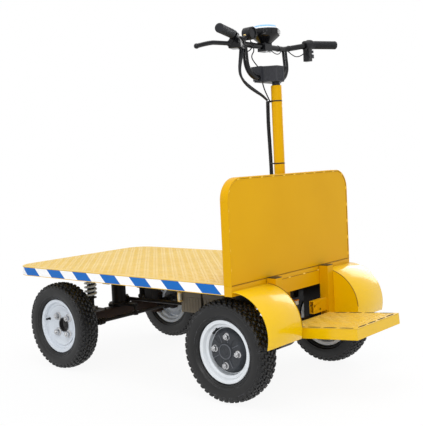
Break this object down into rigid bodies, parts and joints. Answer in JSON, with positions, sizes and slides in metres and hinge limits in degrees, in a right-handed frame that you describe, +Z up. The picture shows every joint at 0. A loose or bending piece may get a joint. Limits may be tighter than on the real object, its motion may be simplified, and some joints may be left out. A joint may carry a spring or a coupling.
{
  "type": "electric platform cart",
  "caption": "Stand-on electric platform cart: flat checker-plate deck, rear guard panel with steering column and handlebar, fenders, foot platform and four pneumatic tyres.",
  "frame": {"origin": "on the ground, midway between the nose of the deck and the rear edge of the foot platform and between the two sides", "axes": "+X towards the nose of the deck (travel direction), +Y to the rider's left, +Z up"},
  "size_m": [1.656, 0.8, 1.4029],
  "materials": {
    "deck_yellow": "satin checker plate",
    "guard_yellow": "satin",
    "skirt_white": "satin, with blue slanted bands",
    "frame_black": "satin",
    "shock_white": "gloss",
    "bare_steel": "satin",
    "rim_white": "gloss",
    "cast_hub": "matt black",
    "tyre_rubber": "matt",
    "black_rubber": "matt",
    "black_plastic": "matt",
    "gloss_black": "gloss",
    "battery_shell": "matt",
    "battery_mass": "matt",
    "dial_glass": "gloss, pale blue",
    "lens_clear": "clear"
  },
  "bodies": {
    "chassis": {"deck_plate": "deck_yellow", "deck_skirt": "skirt_white", "chassis_frame": "frame_black", "guard_rim": "guard_yellow", "guard_panel": "guard_yellow", "rear_posts": "guard_yellow", "post_caps": "black_plastic", "rear_apron": "guard_yellow", "fender_left": "guard_yellow", "fender_right": "guard_yellow", "platform_frame": "guard_yellow", "platform_plate": "deck_yellow", "battery_cases": "battery_shell", "battery_packs": "battery_mass", "battery_tray": "frame_black", "steering_column": "guard_yellow", "column_clamps": "guard_yellow", "wiring_harness": "black_rubber", "rear_axle": "frame_black", "drive_motor": "frame_black", "front_axle_beam": "frame_black", "centre_post": "frame_black", "front_shocks": "shock_white", "shock_springs": "shock_white", "shock_upright": "frame_black"},
    "steering": {"steering_shaft": "bare_steel", "handlebar": "gloss_black", "handlebar_clamp": "bare_steel", "handlebar_grips": "black_rubber", "brake_lever": "gloss_black", "control_pod": "black_plastic", "switch_block": "black_plastic", "headlamp_housing": "black_plastic", "headlamp_lens": "lens_clear", "meter_body": "gloss_black", "meter_dial": "dial_glass", "control_cables": "black_rubber"},
    "bellcrank": {"bellcrank": "frame_black"},
    "drag_link": {"drag_link": "bare_steel"},
    "tie_rod": {"tie_rod": "bare_steel"},
    "knuckle_left": {"knuckle_left": "frame_black"},
    "knuckle_right": {"knuckle_right": "frame_black"},
    "wheel_front_left": {"tyre_front_left": "tyre_rubber", "rim_front_left": "rim_white", "hub_front_left": "cast_hub"},
    "wheel_front_right": {"tyre_front_right": "tyre_rubber", "rim_front_right": "rim_white", "hub_front_right": "cast_hub"},
    "wheel_rear_left": {"tyre_rear_left": "tyre_rubber", "rim_rear_left": "rim_white", "hub_rear_left": "cast_hub"},
    "wheel_rear_right": {"tyre_rear_right": "tyre_rubber", "rim_rear_right": "rim_white", "hub_rear_right": "cast_hub"}
  },
  "joints": [
    {"name": "steering_turn", "type": "hinge", "parent": "chassis", "child": "steering", "pos_m": [-0.413, 0, 1.2], "axis": [0, 0, 1], "range_deg": [-30, 30], "deforming": ["control_cables"]},
    {"name": "bellcrank_turn", "type": "hinge", "parent": "chassis", "child": "bellcrank", "pos_m": [0.565, 0, 0.227], "axis": [0, 0, 1], "range_deg": [-30, 30]},
    {"name": "knuckle_left_turn", "type": "hinge", "parent": "chassis", "child": "knuckle_left", "pos_m": [0.565, 0.27, 0.19], "axis": [0, 0, 1], "range_deg": [-30, 30]},
    {"name": "knuckle_right_turn", "type": "hinge", "parent": "chassis", "child": "knuckle_right", "pos_m": [0.565, -0.27, 0.19], "axis": [0, 0, 1], "range_deg": [-30, 30]},
    {"name": "drag_link_turn", "type": "hinge", "parent": "steering", "child": "drag_link", "pos_m": [-0.413, -0.05, 0.2525], "axis": [0, 0, 1], "range_deg": [-30, 30]},
    {"name": "tie_rod_turn", "type": "hinge", "parent": "knuckle_left", "child": "tie_rod", "pos_m": [0.455, 0.27, 0.1895], "axis": [0, 0, 1], "range_deg": [-30, 30]},
    {"name": "wheel_front_left_spin", "type": "hinge", "parent": "knuckle_left", "child": "wheel_front_left", "pos_m": [0.547, 0.351, 0.191], "axis": [0, 1, 0], "continuous": true},
    {"name": "wheel_front_right_spin", "type": "hinge", "parent": "knuckle_right", "child": "wheel_front_right", "pos_m": [0.547, -0.351, 0.191], "axis": [0, 1, 0], "continuous": true},
    {"name": "wheel_rear_left_spin", "type": "hinge", "parent": "chassis", "child": "wheel_rear_left", "pos_m": [-0.394, 0.335, 0.191], "axis": [0, 1, 0], "continuous": true},
    {"name": "wheel_rear_right_spin", "type": "hinge", "parent": "chassis", "child": "wheel_rear_right", "pos_m": [-0.394, -0.335, 0.191], "axis": [0, 1, 0], "continuous": true}
  ],
  "couplings": [
    {"joint": "bellcrank_turn", "follows": "steering_turn", "ratio": 1},
    {"joint": "knuckle_left_turn", "follows": "steering_turn", "ratio": 1},
    {"joint": "knuckle_right_turn", "follows": "steering_turn", "ratio": 1},
    {"joint": "drag_link_turn", "follows": "steering_turn", "ratio": -1},
    {"joint": "tie_rod_turn", "follows": "steering_turn", "ratio": -1}
  ]
}
